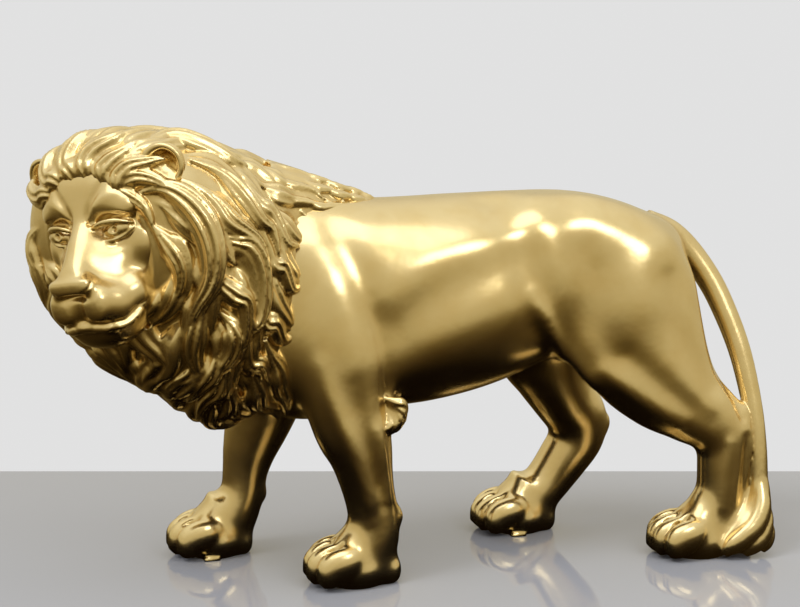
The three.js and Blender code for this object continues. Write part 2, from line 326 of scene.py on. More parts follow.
class Sculpt:
    """A fused surface in the sculptor's hands: points in the drawing frame, moved all together."""

    def __init__(self, piece: bpy.types.Object, origin: Vector) -> None:
        """Takes up a piece.

        Args:
            piece: The mesh object.
            origin: Where the drawing frame's origin lies, in metres.
        """
        self.mesh = piece.data
        self.origin = np.array(origin)
        flat = np.empty(len(self.mesh.vertices) * 3)
        self.mesh.vertices.foreach_get("co", flat)
        self.points = (flat.reshape(-1, 3) - self.origin) / MM
        edges = np.empty(len(self.mesh.edges) * 2, dtype=np.int64)
        self.mesh.edges.foreach_get("vertices", edges)
        self.edges = edges.reshape(-1, 2)
        count = np.bincount(self.edges.ravel(), minlength=len(self.points))
        self.share = 1 / np.maximum(count, 1)[:, None]

    def normals(self) -> Array:
        """Works out the outward directions.

        Returns:
            One direction per point.
        """
        self.put()
        flat = np.empty(len(self.points) * 3)
        self.mesh.vertex_normals.foreach_get("vector", flat)
        return flat.reshape(-1, 3)

    def put(self) -> None:
        """Writes the points back to the mesh."""
        self.mesh.vertices.foreach_set("co", (self.points * MM + self.origin).ravel())
        self.mesh.update()

    def pull(self) -> Array:
        """Works out where its neighbours pull each point.

        Returns:
            The way from each point to the middle of its neighbours.
        """
        a, b = self.edges.T
        n = len(self.points)
        sums = [
            np.bincount(a, self.points[b, k], n) + np.bincount(b, self.points[a, k], n) for k in range(3)
        ]
        return np.stack(sums, axis=1) * self.share - self.points

    def soften(self, times: int, where: Array) -> None:
        """Smooths away small unevenness, by a weight for each point."""
        for _ in range(times):
            self.points = self.points + PASS_IN * self.pull() * where[:, None]

    def relax(self, times: int) -> None:
        """Smooths without shrinking.

        Args:
            times: How many passes in, each followed by a pass out.
        """
        for _ in range(times):
            self.points = self.points + PASS_IN * self.pull()
            self.points = self.points - PASS_OUT * self.pull()

    def fill(self, times: int, where: Array | None = None) -> None:
        """Fills hollows and leaves what stands out, as clay is pressed into corners.

        Args:
            times: How many passes.
            where: A weight for each point.
        """
        for k in range(times):
            if k % 10 == 0:
                n = self.normals()
            step = self.pull()
            out = (step * n).sum(axis=1, keepdims=True)
            move = np.where(out > 0, 0.6 * step, 0.0)
            self.points = self.points + (move if where is None else move * where[:, None])

    def stroke(self, lines: Array, wide: float, high: float, n: Array, flat: bool, where: Array) -> None:
        """Raises or cuts along a line, fading at its ends.

        Args:
            lines: Points of the line, (x, z) if flat, else (x, y, z).
            wide: Its half width.
            high: Its height, negative for a groove.
            n: Outward directions.
            flat: Whether distances are taken square to the side of the body.
            where: A weight for each point.
        """
        pts = self.points[:, [0, 2]] if flat else self.points
        margin = 2.6 * wide
        low, top = lines.min(axis=0) - margin, lines.max(axis=0) + margin
        near = np.flatnonzero(((pts > low) & (pts < top)).all(axis=1) & (where > 0.01))
        if not len(near):
            return
        fine = spline(lines, np.linspace(0, 1, 4 * len(lines)))
        best, along = np.full(len(near), np.inf), np.zeros(len(near))
        span = len(fine) - 1
        for k in range(span):
            a, d = fine[k], fine[k + 1] - fine[k]
            t = np.clip(((pts[near] - a) @ d) / max(d @ d, 1e-9), 0, 1)
            gap = np.linalg.norm(pts[near] - a - t[:, None] * d, axis=1)
            better = gap < best
            best[better], along[better] = gap[better], (k + t[better]) / span
        fade = smooth(0, 0.22, along) * smooth(0, 0.22, 1 - along)
        length = np.linalg.norm(np.diff(fine, axis=0), axis=1).sum()
        # A short stroke keeps more of its height at its ends.
        ends = min(max(7.3 * wide / length, 0.25), 1.0)
        lift = high * np.exp(-((best / wide) ** 2)) * (ends + (1 - ends) * fade) * where[near]
        self.points[near] += n[near] * lift[:, None]

    def strokes(self, table: list[Stroke]) -> None:
        """Draws ridges and grooves on the sides of the body.

        Args:
            table: The strokes, in order.
        """
        n = self.normals()
        for s in table:
            for side in s.side.value:
                where = smooth(0.1, 0.5, n[:, 1] * side) * (self.points[:, 1] * side > 8)
                self.stroke(np.array(s.line, float), s.wide, s.high, n, True, where)

    def presses(self, table: list[Press], place: Place) -> None:
        """Pushes and pulls at places of the head.

        Args:
            table: The presses, each done on both cheeks where it is paired.
            place: The head's frame.
        """
        for p in table:
            for side in (1, -1) if p.pair else (1,):
                far = away(place.into(self.points), p.at, p.reach, side)
                near = far < 6  # beyond this the push is too weak to matter
                push = np.exp(-far[near])[:, None] * (np.array(p.push) * [1, side, 1]) @ place.axes
                self.points[near] += push


# ---- pieces and how they are finished ----


def stand(name: str, data: bpy.types.ID) -> bpy.types.Object:
    """Puts a new object into the scene.

    Args:
        name: Its name.
        data: Its mesh, light or camera.

    Returns:
        The object.
    """
    made = bpy.data.objects.new(name, data)
    bpy.context.collection.objects.link(made)
    return made


class Workshop:
    """The tools that turn clay into finished pieces."""

    def __init__(self, origin: Vector) -> None:
        """Opens the workshop.

        Args:
            origin: Where the drawing frame's origin lies, in metres.
        """
        self.origin = origin

    def alone(self, piece: bpy.types.Object) -> None:
        """Selects one piece and nothing else."""
        bpy.ops.object.select_all(action="DESELECT")
        self.pick(piece)

    def pick(self, piece: bpy.types.Object) -> None:
        """Selects a piece beside others and makes it the active one."""
        piece.select_set(True)
        bpy.context.view_layer.objects.active = piece

    def modify(self, piece: bpy.types.Object, kind: str, **settings: object) -> None:
        """Changes a mesh by one modifier.

        Args:
            piece: The piece.
            kind: The modifier's type.
            settings: Its settings, in the order that they are made.
        """
        self.alone(piece)
        change = piece.modifiers.new(kind, kind)
        for key, value in settings.items():
            setattr(change, key, value)
        bpy.ops.object.modifier_apply(modifier=change.name)

    def remesh(self, piece: bpy.types.Object, voxel: float) -> None:
        """Fuses all that a piece holds into one surface of even squares."""
        self.modify(piece, "REMESH", mode="VOXEL", voxel_size=voxel * MM)

    def lump(self, name: str, clay: Clay) -> bpy.types.Object:
        """Puts gathered clay into the scene as it is.

        Args:
            name: The lump's name.
            clay: The skins.

        Returns:
            The lump.
        """
        mesh = bpy.data.meshes.new(name)
        mesh.from_pydata(np.concatenate(clay.points) * MM + np.array(self.origin), [], clay.faces)
        return stand(name, mesh)

    def fuse(self, name: str, clay: Clay, voxel: float) -> bpy.types.Object:
        """Makes one closed surface from gathered clay.

        Args:
            name: The piece's name.
            clay: The skins.
            voxel: The fineness of the fused surface.

        Returns:
            The piece.
        """
        piece = self.lump(name, clay)
        self.remesh(piece, voxel)
        return piece

    def add(self, piece: bpy.types.Object, clay: Clay, voxel: float) -> None:
        """Adds more clay to a piece and fuses it again.

        Args:
            piece: The piece.
            clay: The skins.
            voxel: The fineness of the fused surface.
        """
        self.alone(self.lump("extra", clay))
        self.pick(piece)
        bpy.ops.object.join()
        self.remesh(piece, voxel)

    def level(self, piece: bpy.types.Object) -> None:
        """Cuts off what lies under the floor and closes the flat soles.

        Args:
            piece: The piece.
        """
        self.alone(piece)
        bpy.ops.object.mode_set(mode="EDIT")
        bpy.ops.mesh.select_all(action="SELECT")
        bpy.ops.mesh.bisect(plane_co=(0, 0, 0), plane_no=(0, 0, 1), use_fill=True, clear_inner=True)
        bpy.ops.object.mode_set(mode="OBJECT")

    def thin(self, piece: bpy.types.Object, triangles: int) -> None:
        """Keeps the shape with fewer triangles, and the shading of the full surface.

        Args:
            piece: The piece.
            triangles: How many may stay.
        """
        mesh = piece.data
        have = sum(len(p.vertices) - 2 for p in mesh.polygons)
        mesh.shade_smooth()
        if have <= triangles:
            return
        full = stand("full", mesh.copy())
        self.modify(piece, "DECIMATE", ratio=triangles / have)
        self.modify(
            piece, "DATA_TRANSFER", object=full, use_loop_data=True,
            data_types_loops={"CUSTOM_NORMAL"}, loop_mapping="POLYINTERP_NEAREST",
        )
        bpy.data.meshes.remove(full.data)

    def dress(self, piece: bpy.types.Object, finish: bpy.types.Material) -> None:
        """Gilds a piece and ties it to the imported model.

        Args:
            piece: The piece.
            finish: Its material.
        """
        piece.data.materials.clear()
        piece.data.materials.append(finish)
        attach(piece, "root")
        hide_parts("lion")
        LOG.info("%s: %d faces", piece.name, len(piece.data.polygons))


# ---- body, legs, paws and tail ----

# Legs and tail, from the top down: (x, y, z, half depth, half width)
FORELEG_LEFT: Table = [
    (-490, -104, 915, 84, 56), (-498, -138, 830, 138, 80), (-504, -158, 700, 158, 86),
    (-490, -166, 560, 134, 88), (-474, -174, 430, 108, 84), (-454, -178, 358, 89, 76),
    (-442, -180, 300, 77, 68), (-430, -181, 240, 70, 63), (-420, -181, 185, 70, 62),
    (-424, -182, 130, 76, 66), (-440, -183, 70, 78, 68),
]
FORELEG_RIGHT: Table = [
    (-580, 104, 915, 84, 56), (-588, 138, 830, 138, 80), (-598, 158, 700, 158, 86),
    (-622, 166, 560, 136, 88), (-655, 174, 430, 108, 84), (-676, 178, 358, 93, 76),
    (-695, 180, 295, 78, 68), (-708, 181, 235, 66, 62), (-716, 181, 180, 63, 62),
    (-735, 182, 125, 68, 66), (-765, 183, 70, 76, 68),
]
HINDLEG_LEFT: Table = [
    (310, -70, 900, 150, 80), (306, -96, 820, 215, 104), (330, -112, 710, 228, 108),
    (393, -138, 580, 190, 98), (456, -155, 492, 152, 88), (522, -166, 430, 116, 78),
    (580, -174, 384, 97, 70), (620, -180, 330, 88, 64), (619, -182, 270, 85, 62),
    (616, -183, 205, 81, 62), (610, -183, 140, 78, 64), (585, -183, 70, 78, 68),
]
HINDLEG_RIGHT: Table = [
    (250, 70, 900, 150, 80), (230, 96, 810, 205, 104), (208, 112, 700, 212, 108),
    (180, 138, 575, 162, 96), (213, 155, 478, 116, 86), (258, 166, 400, 98, 76),
    (303, 174, 335, 93, 68), (306, 180, 275, 86, 62), (268, 182, 215, 80, 62),
    (224, 183, 155, 73, 62), (182, 183, 105, 70, 66), (155, 183, 60, 72, 68),
]
TAIL: Table = [
    (440, 0, 915, 60, 60), (506, -4, 900, 46, 46), (566, -22, 850, 38, 38),
    (620, -54, 764, 36, 36), (656, -92, 668, 34, 34), (680, -128, 575, 32, 32),
    (694, -160, 480, 30, 30), (702, -190, 385, 28, 28), (706, -208, 295, 27, 27),
    (706, -220, 205, 28, 27), (704, -232, 132, 36, 28), (688, -248, 70, 40, 26),
]
TUFT: Table = [
    (706, -214, 240, 24, 26), (706, -226, 180, 32, 30), (694, -238, 126, 44, 34),
    (668, -246, 84, 50, 38), (632, -250, 54, 42, 36), (596, -250, 34, 28, 26), (572, -250, 24, 12, 12),
]
TUFT_LOBES: list[Table] = [
    [
        (704, -232, 214, 16, 14), (700, -256, 150, 26, 22), (676, -270, 98, 32, 24),
        (640, -274, 66, 32, 24), (602, -270, 40, 26, 22), (582, -264, 18, 14, 12),
    ],
    [
        (708, -236, 170, 16, 14), (710, -254, 110, 28, 22), (692, -268, 64, 32, 24),
        (664, -274, 38, 28, 22), (640, -270, 16, 14, 12),
    ],
    [(714, -232, 120, 14, 12), (724, -246, 70, 24, 20), (714, -256, 38, 24, 20), (700, -258, 16, 12, 12)],
]
# (x, height of the back, height of the belly, half width)
TRUNK: Table = [
    (-800, 1030, 560, 120), (-700, 1060, 470, 185), (-560, 1052, 422, 210), (-400, 1030, 444, 222),
    (-250, 1032, 456, 226), (-100, 1040, 488, 220), (50, 1046, 545, 204), (180, 1043, 602, 190),
    (310, 1020, 646, 184), (420, 980, 694, 160), (500, 935, 745, 118), (545, 885, 800, 60),
]
# Bony points and muscles: (middle, half sizes, turn about Y)
POINTS: list[tuple[Triple, Triple, float]] = [
    ((405, 0, 850), (150, 150, 125), 0),
    ((372, -116, 800), (140, 88, 150), 0),
    ((330, 116, 800), (140, 84, 150), 0),
    ((-384, -184, 474), (36, 34, 54), -14),
    ((-580, 188, 475), (40, 40, 56), -10),
    ((-360, -183, 176), (24, 27, 36), 0),
    ((-668, 183, 170), (24, 28, 36), 0),
    ((676, -180, 384), (34, 30, 58), -20),
    ((372, 176, 298), (34, 30, 54), 30),
]
# Ridges and hollows of the body: shoulder, ribs, hip, flank, thigh and the lower legs.
MUSCLES: list[Stroke] = [
    Stroke([(-520, 960), (-450, 800), (-412, 690), (-396, 560), (-390, 500)], 46, -14, Side.BOTH),
    Stroke([(-580, 900), (-520, 760), (-486, 620)], 76, 7, Side.BOTH),
    Stroke([(-436, 780), (-408, 670), (-394, 570), (-390, 480)], 17, -8),
    Stroke([(-380, 790), (-265, 865), (-139, 905), (30, 955)], 54, 7, Side.BOTH),
    Stroke([(-350, 690), (-230, 780), (-60, 850)], 70, -9, Side.BOTH),
    Stroke([(-350, 620), (-220, 680), (-60, 740)], 100, 15, Side.BOTH),
    Stroke([(-20, 960), (66, 1000), (180, 1006)], 56, 5, Side.BOTH),
    Stroke([(-60, 1050), (-4, 900), (22, 800), (36, 690)], 66, -15, Side.BOTH),
    Stroke([(66, 1000), (98, 830), (108, 715), (140, 640), (210, 550)], 54, 10),
    Stroke([(20, 770), (58, 704), (110, 625), (190, 525), (240, 480)], 22, 20),
    Stroke([(230, 980), (340, 890), (352, 760)], 95, 14, Side.BOTH),
    Stroke([(170, 880), (212, 780), (216, 680), (256, 590)], 58, -10),
    Stroke([(425, 800), (440, 690), (480, 600), (545, 500)], 42, -11),
    Stroke([(240, 545), (340, 470), (450, 395)], 30, 9),
    Stroke([(300, 590), (420, 490), (540, 405)], 36, -7),
    Stroke([(590, 540), (625, 470), (650, 400)], 16, -12),
    Stroke([(660, 340), (655, 250), (650, 150)], 16, -10),
    Stroke([(600, 330), (590, 240), (580, 150)], 20, 6),
    Stroke([(-570, 610), (-535, 490), (-492, 380), (-450, 260), (-440, 190)], 24, 11),
    Stroke([(-480, 560), (-460, 440), (-430, 330), (-412, 230)], 24, -9),
    Stroke([(-420, 430), (-404, 340), (-388, 240)], 18, 6),
    Stroke([(100, 690), (150, 620), (120, 540)], 42, 10, Side.RIGHT),
    Stroke([(250, 600), (290, 500), (330, 400)], 24, -9, Side.RIGHT),
    Stroke([(340, 400), (362, 340), (340, 270)], 16, -8, Side.RIGHT),
    Stroke([(-690, 560), (-700, 440), (-712, 300)], 28, 8, Side.RIGHT),
]


@dataclass
class Paw:
    """One paw, under the leg at (x, y) and pointing to -X."""

    x: float
    y: float
    length: float
    heel: float  # how far the heel's pad is behind x
    toes: int = 4
    pitch: float = 42  # from one toe to the next

    def sole(self, clay: Clay) -> None:
        """Adds the paw's body, heel and instep.

        Args:
            clay: Where they go.
        """
        x, y, long = self.x, self.y, self.length
        clay.ball((x - 0.12 * long, y, 42), (0.38 * long, 88, 70))
        clay.ball((x + self.heel, y, 34), (0.18 * long, 62, 44), square=0.8)
        instep = [
            (x + 6, y, 150, 60, 52), (x - 0.08 * long, y, 118, 54, 62), (x - 0.25 * long, y, 88, 46, 76),
            (x - 0.4 * long, y, 66, 40, 84), (x - 0.48 * long, y, 50, 22, 60),
        ]
        clay.limb(instep)

    def front(self) -> float:
        """Where the middle toes end."""
        return self.x - 0.62 * self.length

    def tips(self) -> list[Triple]:
        """Each toe's place across the paw, its tip and its centre line."""
        outs = [i - (self.toes - 1) / 2 for i in range(self.toes)]
        return [(o, self.front() + 10 * o * o, self.y + self.pitch * o) for o in outs]

    def knuckles(self, clay: Clay) -> None:
        """Adds the toes, each rising over its knuckle and curling down to the floor.

        Args:
            clay: Where they go.
        """
        for out, tip, line in self.tips():
            toe = [
                (tip + 122, self.y + 26 * out, 68, 28, 22), (tip + 92, self.y + 34 * out, 74, 40, 28),
                (tip + 58, line, 72, 46, 31), (tip + 24, line, 56, 48, 32),
                (tip + 2, line, 34, 34, 28), (tip - 12, line, 20, 15, 15),
            ]
            clay.limb(toe, sides=20, steps=4)

    def grooves(self) -> list[Array]:
        """Finds the lines between the toes.

        Returns:
            One line per gap, from the floor up and back over the paw.
        """
        lines = []
        for (o1, t1, y1), (o2, t2, y2) in zip(self.tips(), self.tips()[1:]):
            out, tip, y = (o1 + o2) / 2, (t1 + t2) / 2, (y1 + y2) / 2
            line = [
                (tip + 2, y, 6), (tip - 2, y, 40), (tip + 16, y, 84), (tip + 52, y, 112),
                (tip + 92, self.y + 34 * out, 118), (tip + 128, self.y + 24 * out, 128),
            ]
            lines.append(np.array(line, float))
        return lines


@dataclass
class Body:
    """The trunk, legs, paws and tail of the lion."""

    name: str = "lion_body"
    rough: float = 8.0  # fineness of the surface before and after the details are added
    fine: float = 4.0
    triangles: int = 190_000
    stance: float = 180  # from the middle to the paws
    lug: Triple = (46, 52, 10)
    lugs: tuple[Pair, ...] = ((-818, 122), (97, 122))
    elbows: tuple[Triple, ...] = ((-388, -182, 474), (-566, 184, 470))
    curl: LockShape = LockShape(18, 18, 2, 0.3, steps=18, sides=18)
    toe_groove: Pair = (8, -11)  # half width, height
    corner_passes: int = 70
    flesh_passes: int = 60
    web_passes: int = 45

    def paws(self) -> list[Paw]:
        """The four paws."""
        y = self.stance
        return [Paw(-440, -y, 242, 52), Paw(-772, y, 232, 40), Paw(572, -y, 258, 84), Paw(146, y, 240, 44)]

    def clay(self) -> Clay:
        """Shapes the rough body, before its muscles are worked.

        Returns:
            Its skins.
        """
        clay = Clay()
        clay.limb([(x, 0, (t + b) / 2, (t - b) / 2, w) for x, t, b, w in TRUNK], 40, square=0.86)
        for leg in (FORELEG_LEFT, FORELEG_RIGHT, HINDLEG_LEFT, HINDLEG_RIGHT):
            clay.limb(leg, 28)
        for at, sizes, turn in POINTS:
            clay.ball(at, sizes, (0, turn, 0))
        for paw in self.paws():
            paw.sole(clay)
        return clay

    def tail(self, clay: Clay) -> None:
        """Adds the tail and the tuft that lies round the outside of the left hind paw.

        Args:
            clay: Where they go.
        """
        clay.limb(TAIL, 20)
        clay.limb(TUFT)
        for lobe in TUFT_LOBES:
            clay.limb(lobe, 16)

    def elbow(self, clay: Clay, at: Triple) -> None:
        """Adds the curls of hair on an elbow, fanned from the top and hooked at their tips.

        Args:
            clay: Where they go.
            at: The elbow.
        """
        x, y, z = at
        side = 1 if y > 0 else -1
        for k, fan in enumerate(np.radians([16, -14, -42, -70, -100])):
            pts = [(x - 26 + 3 * k, y + side * 20, z + 44 - 7 * k)]
            for reach, bend, out in ((24, 0.5, 40), (40, 0.0, 38), (48, -0.5, 24), (38, -0.95, 12)):
                back, rise = reach * math.cos(fan + bend), 1.3 * reach * math.sin(fan + bend)
                pts.append((x + back, y + side * out, z + 6 + rise))
            up = unit(np.tile([0.35, side, 0.1], (len(pts), 1)))
            clay.lock(np.array(pts, float), up, self.curl)

    def details(self) -> Clay:
        """Shapes the toes, tail, elbow curls and lugs, added once the muscles are smooth.

        Returns:
            Their skins.
        """
        clay = Clay()
        for paw in self.paws():
            paw.knuckles(clay)
        self.tail(clay)
        for at in self.elbows:
            self.elbow(clay, at)
        long, wide, thick = self.lug
        for x, y in self.lugs:
            corners = [(-1, -1), (1, -1), (1, 1), (-1, 1)]
            square = np.array([(x + i * long / 2, y + j * wide / 2) for i, j in corners])
            clay.rings(np.stack([np.c_[square, np.full(4, z)] for z in (-8.0, float(thick))]))
        return clay

    def webs(self, points: Array) -> Array:
        """Weighs the backs of the paws, where the toes run into them.

        Args:
            points: The points of the body.

        Returns:
            One weight per point.
        """
        x, y, z = points.T
        blend = np.zeros(len(points))
        for paw in self.paws():
            reach = x - paw.front()
            off = smooth(92, 78, np.abs(y - paw.y))
            blend = np.maximum(blend, smooth(50, 105, reach) * off * (reach < paw.length + 60))
        return blend * (smooth(200, 150, z) * smooth(4, 20, z))

    def make(self, shop: Workshop) -> bpy.types.Object:
        """Builds the body.

        Args:
            shop: The workshop.

        Returns:
            The finished piece.
        """
        piece = shop.fuse(self.name, self.clay(), self.rough)
        work = Sculpt(piece, shop.origin)
        work.fill(self.corner_passes)
        fleshy = smooth(420, 600, work.points[:, 2]) * 0.92 + 0.08
        work.soften(self.flesh_passes, fleshy)
        work.strokes(MUSCLES)
        work.soften(7, fleshy)
        work.put()
        shop.add(piece, self.details(), self.fine)
        work = Sculpt(piece, shop.origin)
        work.fill(self.web_passes, self.webs(work.points))
        work.relax(2)
        n = work.normals()
        low = smooth(170, 130, work.points[:, 2])
        for paw in self.paws():
            for line in paw.grooves():
                work.stroke(line, *self.toe_groove, n, False, low)
        work.relax(2)
        work.put()
        shop.level(piece)
        shop.thin(piece, self.triangles)
        return piece


# ---- mane ----

# Rings of the mane from the face to the shoulders: (x, y, z, turn, nod, tilt, half width, up, down)
MANE_RINGS: Table = [
    (-1128, -196, 925, 54, 9, 9, 176, 226, 200),
    (-1085, -165, 918, 53, 7, 9, 282, 318, 308),
    (-1005, -115, 912, 45, 1, 7, 292, 332, 376),
    (-910, -70, 895, 32, -6, 5, 282, 330, 388),
    (-810, -30, 850, 18, -9, 2, 270, 336, 412),
    (-720, -6, 800, 8, -9, 0, 256, 346, 372),
    (-640, 0, 775, 3, -8, 0, 238, 335, 345),
]
CREST: Table = [
    (-700, 0, 1000, 142, 150), (-580, 0, 970, 134, 126), (-490, 0, 968, 104, 92),
    (-420, 0, 972, 72, 52), (-380, 0, 978, 44, 14),
]
# The big locks: (t, angle) points from root to tip, half width, height, and how far the root and
# the tip stand off the mane.
HERO_LOCKS: list[tuple[Table, float, float, float, float]] = [
    ([(0.05, 36), (0.12, 30), (0.17, 8), (0.17, -15), (0.13, -37), (0.14, -58)], 46, 36, 6, 28),
    ([(0.02, 14), (0.05, 2), (0.08, -15), (0.08, -31), (0.05, -50)], 34, 28, 6, 18),
    ([(0.16, 6), (0.32, 2), (0.5, 4), (0.64, -1), (0.69, -12), (0.63, -21), (0.54, -19)], 40, 34, 6, 26),
    ([(0.19, -5), (0.22, -18), (0.36, -20), (0.5, -20), (0.58, -30), (0.52, -40)], 38, 30, 6, 22),
    ([(0.18, -28), (0.17, -44), (0.21, -58), (0.29, -62), (0.35, -56)], 42, 34, 6, 24),
    ([(0.24, -32), (0.4, -33), (0.5, -40), (0.46, -52), (0.36, -58)], 38, 30, 6, 20),
    ([(0.18, 32), (0.28, 21), (0.33, 11), (0.45, 8), (0.62, 9), (0.72, 2)], 38, 30, 6, 22),
    ([(0.3, 44), (0.42, 38), (0.5, 28), (0.6, 22), (0.72, 24), (0.8, 16)], 38, 30, 6, 20),
    ([(0.55, 44), (0.64, 34), (0.74, 33), (0.86, 26), (0.98, 29)], 36, 26, 6, 14),
    ([(0.66, 20), (0.76, 12), (0.84, 13), (0.93, 6), (1.02, 9)], 36, 26, 6, 10),
    ([(0.66, -4), (0.76, -13), (0.84, -12), (0.93, -19), (1.02, -15)], 36, 26, 6, 10),
    ([(0.62, -24), (0.72, -34), (0.8, -33), (0.89, -42), (0.97, -40)], 36, 26, 6, 10),
    ([(0.34, -44), (0.42, -55), (0.41, -68), (0.48, -84)], 40, 32, 6, 30),
    ([(0.48, -46), (0.56, -57), (0.55, -70), (0.62, -86)], 40, 32, 6, 32),
    ([(0.6, -48), (0.7, -58), (0.69, -70), (0.76, -86)], 38, 30, 6, 28),
    ([(0.24, -54), (0.3, -66), (0.29, -78), (0.34, -92)], 36, 30, 6, 18),
    ([(0.7, -32), (0.82, -42), (0.88, -54), (1.0, -61), (1.06, -72)], 46, 34, 6, 54),
    ([(0.8, -20), (0.92, -32), (0.97, -44), (1.06, -52), (1.1, -64)], 44, 32, 6, 56),
    ([(0.5, -58), (0.6, -67), (0.66, -77), (0.78, -83), (0.9, -92)], 44, 32, 6, 36),
    ([(-0.13, 44), (-0.04, 52), (0.06, 54), (0.13, 48), (0.21, 44)], 36, 28, 22, 4),
    ([(-0.14, 57), (-0.04, 66), (0.05, 66), (0.12, 62), (0.22, 62)], 38, 30, 24, 0),
    ([(-0.15, 74), (-0.05, 82), (0.06, 82), (0.15, 72), (0.25, 74)], 40, 30, 26, 0),
    ([(-0.16, 90), (-0.06, 96), (0.05, 102), (0.15, 96), (0.26, 90)], 40, 30, 26, 0),
    ([(-0.15, 106), (-0.05, 114), (0.05, 122), (0.14, 118), (0.25, 108)], 40, 30, 26, 0),
    ([(-0.13, 120), (-0.04, 130), (0.05, 138), (0.13, 138), (0.2, 132)], 38, 30, 24, 2),
    ([(0.2, 84), (0.3, 88), (0.4, 80), (0.5, 74), (0.62, 76)], 44, 32, -10, -6),
    ([(0.24, 62), (0.34, 66), (0.44, 58), (0.54, 52), (0.64, 56)], 42, 32, 6, 12),
    ([(0.22, 104), (0.34, 108), (0.46, 100), (0.58, 96)], 42, 32, -8, -4),
    ([(-0.06, 52), (-0.01, 42), (0.03, 27), (0.02, 8)], 26, 22, 2, 6),
    ([(-0.03, 46), (0.05, 48), (0.1, 38), (0.13, 24)], 32, 26, 6, 14),
]


@dataclass
class Mane:
    """The mane, its crest over the withers and the beard."""

    name: str = "lion_mane"
    fine: float = 3.4
    triangles: int = 195_000
    inset: float = 26  # how far the combed body lies under the rings
    sink: float = 20  # how much further at the shoulders
    fall: float = 5000  # how fast the forelocks come down in front of the first ring
    seed: int = 7
    t_step: float = 0.098  # between the rows of small locks
    angle_step: float = 21.0
    long: float = 0.36  # length of a small lock, in t
    swing: float = 34.0  # how far the combing sways, in degrees
    unit_t: float = 700.0  # millimetres along the mane
    unit_angle: float = 5.4  # millimetres round it, in a degree
    ears: Pair = (44, 129)  # the angles at the ears
    hero_lock: LockShape = LockShape(strands=3, groove=0.32, steps=30, sides=40)
    crest_lock: LockShape = LockShape(17, 12, 2, 0.4, steps=18, sides=20)

    def ring(self, t: Array) -> Array:
        """The mane's ring values at places from the face, 0, to the shoulders, 1."""
        return spline(np.array(MANE_RINGS, float), np.clip(t, 0, 1))

    def point(self, t: Array, angle: Array, lift: Array) -> Array:
        """Points of the mane.

        Args:
            t: Places from the face, 0, to the shoulders, 1, or a little past either.
            angle: Degrees round from the lion's left, 0, over the top, 90.
            lift: Height above the combed body of the mane.

        Returns:
            The points, one row each.
        """
        rows = self.ring(t)
        axes = np.array([facing(*row[3:6]) for row in rows])
        a = np.radians(angle)
        high = np.where(np.sin(a) > 0, rows[:, 7], rows[:, 8])
        past = np.where(t > 1, t - 1, np.where(t < 0, t + 8.3 * t**2, 0))
        lift = lift - self.inset - self.sink * smooth(0.8, 1.02, t) - self.fall * np.minimum(t, 0) ** 2
        return (
            rows[:, :3]
            + axes[:, 1] * ((rows[:, 6] + lift) * np.cos(a))[:, None]
            + axes[:, 2] * ((high + lift) * np.sin(a))[:, None]
            - axes[:, 0] * (360 * past)[:, None]
        )

    def outward(self, t: Array, angle: Array) -> Array:
        """Works out the mane's outward directions.

        Args:
            t: Places from the face to the shoulders.
            angle: Degrees round.

        Returns:
            One direction per place.
        """
        zero = np.zeros_like(t)
        after, before = np.minimum(t + 0.02, 1), np.clip(t - 0.02, 0, 0.98)
        along = self.point(after, angle, zero) - self.point(before, angle, zero)
        around = self.point(t, angle + 2, zero) - self.point(t, angle - 2, zero)
        return unit(np.cross(around, along)) * -1.0

    def hair(self, clay: Clay, line: Table | Array, shape: LockShape, root: float, tip: float) -> None:
        """Adds a lock that follows (t, angle) points over the mane.

        Args:
            clay: Where it goes.
            line: Its points, root first.
            shape: Its sizes.
            root: Height of the root above the combed body.
            tip: Height of the tip.
        """
        s = np.linspace(0, 1, 14)
        pts = spline(np.array(line, float), s)
        t, angle = pts.T
        up = self.outward(np.clip(t, 0.03, 0.97), angle)
        clay.lock(self.point(t, angle, root + (tip - root) * s**1.5), up, shape)

    def heroes(self) -> tuple[Array, Array]:
        """Measures the big locks.

        Returns:
            Places along them and the way they run there, in millimetres.
        """
        scale = np.array([self.unit_t, self.unit_angle])
        places, ways = [], []
        for line, *_ in HERO_LOCKS:
            pts = spline(np.array(line, float), np.linspace(0, 1, 12)) * scale
            places.append(pts)
            ways.append(unit(np.gradient(pts, axis=0)))
        return np.concatenate(places), np.concatenate(ways)

    def comb(self, t: float, angle: float, heroes: tuple[Array, Array]) -> Pair:
        """The way the hair lies at a place.

        Args:
            t: From the face to the shoulders.
            angle: Round the mane.
            heroes: The big locks that the hair near them follows.

        Returns:
            A step in (t, angle), in millimetres.
        """
        side = 1.0 if math.cos(math.radians(angle)) > 0 else -1.0
        height = math.degrees(math.asin(math.sin(math.radians(angle))))
        top = float(smooth(22, 78, height))
        under = float(smooth(-62, -86, height))
        back = 0.25 + 0.9 * top + 0.8 * under + 0.6 * t * t
        down = (1 - top) * (1 - under)
        way = math.atan2(down, back)
        wave = t * self.unit_t / 330 - height * self.unit_angle / 290
        way += math.radians(self.swing) * math.sin(2 * math.pi * wave)
        step = np.array([math.cos(way), -side * math.sin(way)])
        here = np.array([t * self.unit_t, ((angle + 180) % 360 - 180) * self.unit_angle])
        pull = np.exp(-(((heroes[0] - here) / 48) ** 2).sum(axis=1))
        step = 0.35 * step + (pull[:, None] * heroes[1]).sum(axis=0)
        step = step / max(np.hypot(*step), 1e-6)
        return float(step[0]), float(step[1])

    def bare(self, row: float, angle: float) -> bool:
        """Whether a place is left to the face, the forelocks or an ear."""
        front = row < 0.03 and not 50 < angle < 130
        return front or (row < 0.26 and min(abs(angle - ear) for ear in self.ears) < 12)

